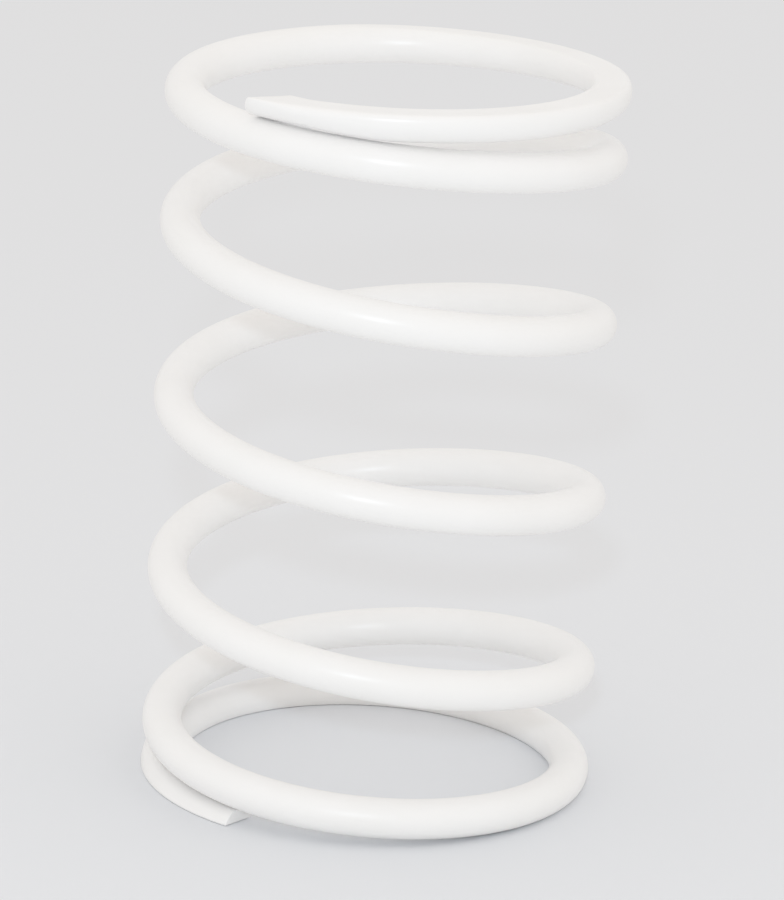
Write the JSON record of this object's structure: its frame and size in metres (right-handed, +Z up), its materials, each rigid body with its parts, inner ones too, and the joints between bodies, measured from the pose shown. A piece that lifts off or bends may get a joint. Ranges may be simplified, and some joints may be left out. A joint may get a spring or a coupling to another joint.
{
  "type": "variator spring",
  "caption": "Left-hand compression coil spring of round wire with closed, ground ends, painted white, for a scooter's belt drive pulley.",
  "frame": {"origin": "middle of the lower ground face, on the spring's axis", "axes": "+Z up along the spring's axis, -Y towards the pictured side, +X to the right in the picture"},
  "size_m": [0.06, 0.06, 0.0959],
  "materials": {
    "white_powder_coat": "smooth white powder coat with a soft gloss"
  },
  "bodies": {
    "root": {"spring": "white_powder_coat"}
  },
  "joints": []
}
